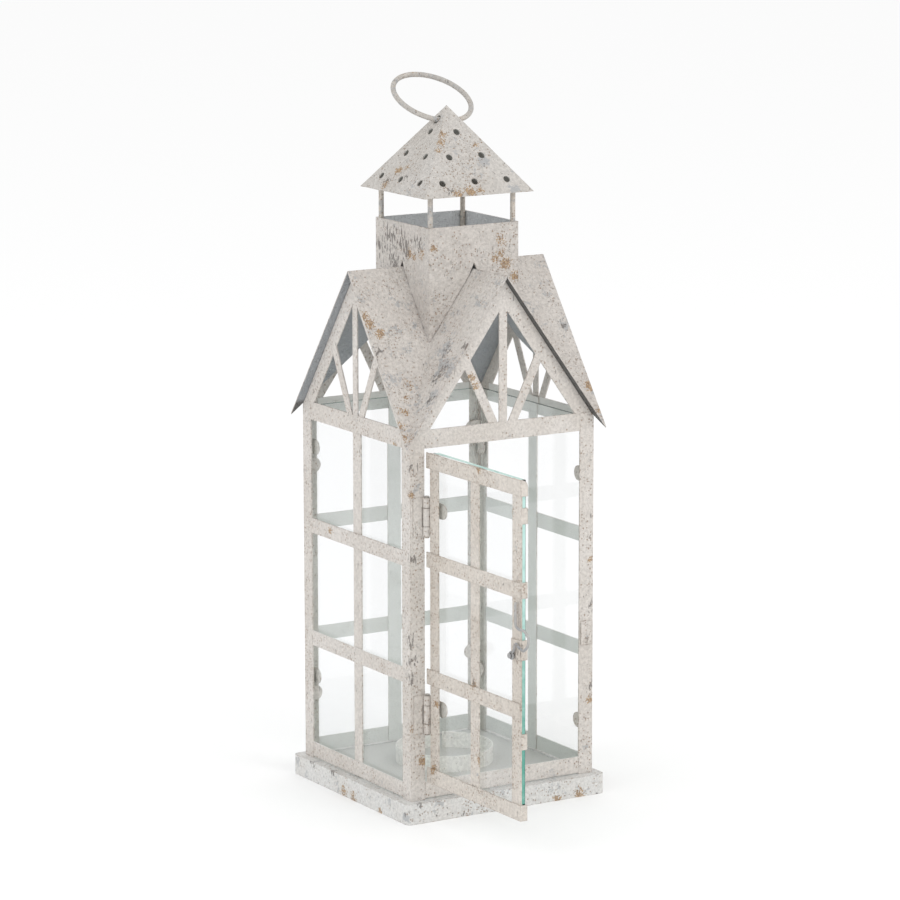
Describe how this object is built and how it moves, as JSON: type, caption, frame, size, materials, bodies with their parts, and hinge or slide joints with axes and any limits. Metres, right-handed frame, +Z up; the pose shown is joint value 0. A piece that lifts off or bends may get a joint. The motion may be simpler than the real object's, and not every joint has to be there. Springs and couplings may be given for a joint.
{
  "type": "candle lantern",
  "caption": "Square house-shaped metal candle lantern with barred glass sides, a hinged door with a hook latch, cross-gable roof, chimney, raised pyramid cap and carry ring.",
  "frame": {"origin": "middle of the floor plate's upper face, where the candle stands", "axes": "+Z up along the lantern's height; the door side looks along -Y; +X to the right as one faces the door"},
  "size_m": [0.15, 0.2668, 0.4678],
  "materials": {
    "cream_paint": "matt cream paint, chipped and rusty at the edges",
    "worn_wire": "worn cream paint over greyish wire",
    "clear_glass": "clear, 2 mm"
  },
  "bodies": {
    "lantern": {"base_tray": "cream_paint", "bottom_rail_back": "cream_paint", "bottom_rail_front": "cream_paint", "bottom_rail_left": "cream_paint", "bottom_rail_right": "cream_paint", "candle_ring": "cream_paint", "cap_floor_plate": "cream_paint", "cap_rod_back_left": "worn_wire", "cap_rod_back_right": "worn_wire", "cap_rod_front_left": "worn_wire", "cap_rod_front_right": "worn_wire", "chimney": "cream_paint", "chimney_cap": "cream_paint", "corner_post_back_left": "cream_paint", "corner_post_back_right": "cream_paint", "corner_post_front_left": "cream_paint", "corner_post_front_right": "cream_paint", "gable_frame_back": "cream_paint", "gable_frame_front": "cream_paint", "gable_frame_left": "cream_paint", "gable_frame_right": "cream_paint", "glass_pane_back": "clear_glass", "glass_pane_left": "clear_glass", "glass_pane_right": "clear_glass", "latch_catch": "cream_paint", "lower_cross_bar_back": "cream_paint", "lower_cross_bar_left": "cream_paint", "lower_cross_bar_right": "cream_paint", "lower_hinge_frame_leaf": "cream_paint", "lower_hinge_pin": "worn_wire", "roof_sheet_back_left": "cream_paint", "roof_sheet_back_right": "cream_paint", "roof_sheet_front_left": "cream_paint", "roof_sheet_front_right": "cream_paint", "top_rail_back": "cream_paint", "top_rail_front": "cream_paint", "top_rail_left": "cream_paint", "top_rail_right": "cream_paint", "upper_cross_bar_back": "cream_paint", "upper_cross_bar_left": "cream_paint", "upper_cross_bar_right": "cream_paint", "upper_hinge_frame_leaf": "cream_paint", "upper_hinge_pin": "worn_wire", "upright_bar_back": "cream_paint", "upright_bar_left": "cream_paint", "upright_bar_right": "cream_paint"},
    "door": {"door_bottom_rail": "cream_paint", "door_free_stile": "cream_paint", "door_glass": "clear_glass", "door_hinge_stile": "cream_paint", "door_lower_cross_bar": "cream_paint", "door_top_rail": "cream_paint", "door_upper_cross_bar": "cream_paint", "door_upright_bar": "cream_paint", "lower_hinge_door_leaf": "cream_paint", "upper_hinge_door_leaf": "cream_paint", "latch_plate": "cream_paint", "latch_rivet": "worn_wire"},
    "latch": {"latch_hook": "worn_wire"},
    "ring": {"carry_ring": "worn_wire"}
  },
  "joints": [
    {"name": "door_swing", "type": "hinge", "parent": "lantern", "child": "door", "pos_m": [-0.0583, -0.0714, 0.12], "axis": [0, 0, 1], "range_deg": [-81, 89]},
    {"name": "latch_swing", "type": "hinge", "parent": "door", "child": "latch", "pos_m": [-0.05805, -0.17191, 0.1166], "axis": [0.9998, 0.0175, 0], "range_deg": [-20, 134.8]},
    {"name": "ring_swing", "type": "hinge", "parent": "lantern", "child": "ring", "pos_m": [0, 0, 0.42716], "axis": [0.995, -0.0661, -0.075], "range_deg": [-60.6, 179.4]}
  ]
}
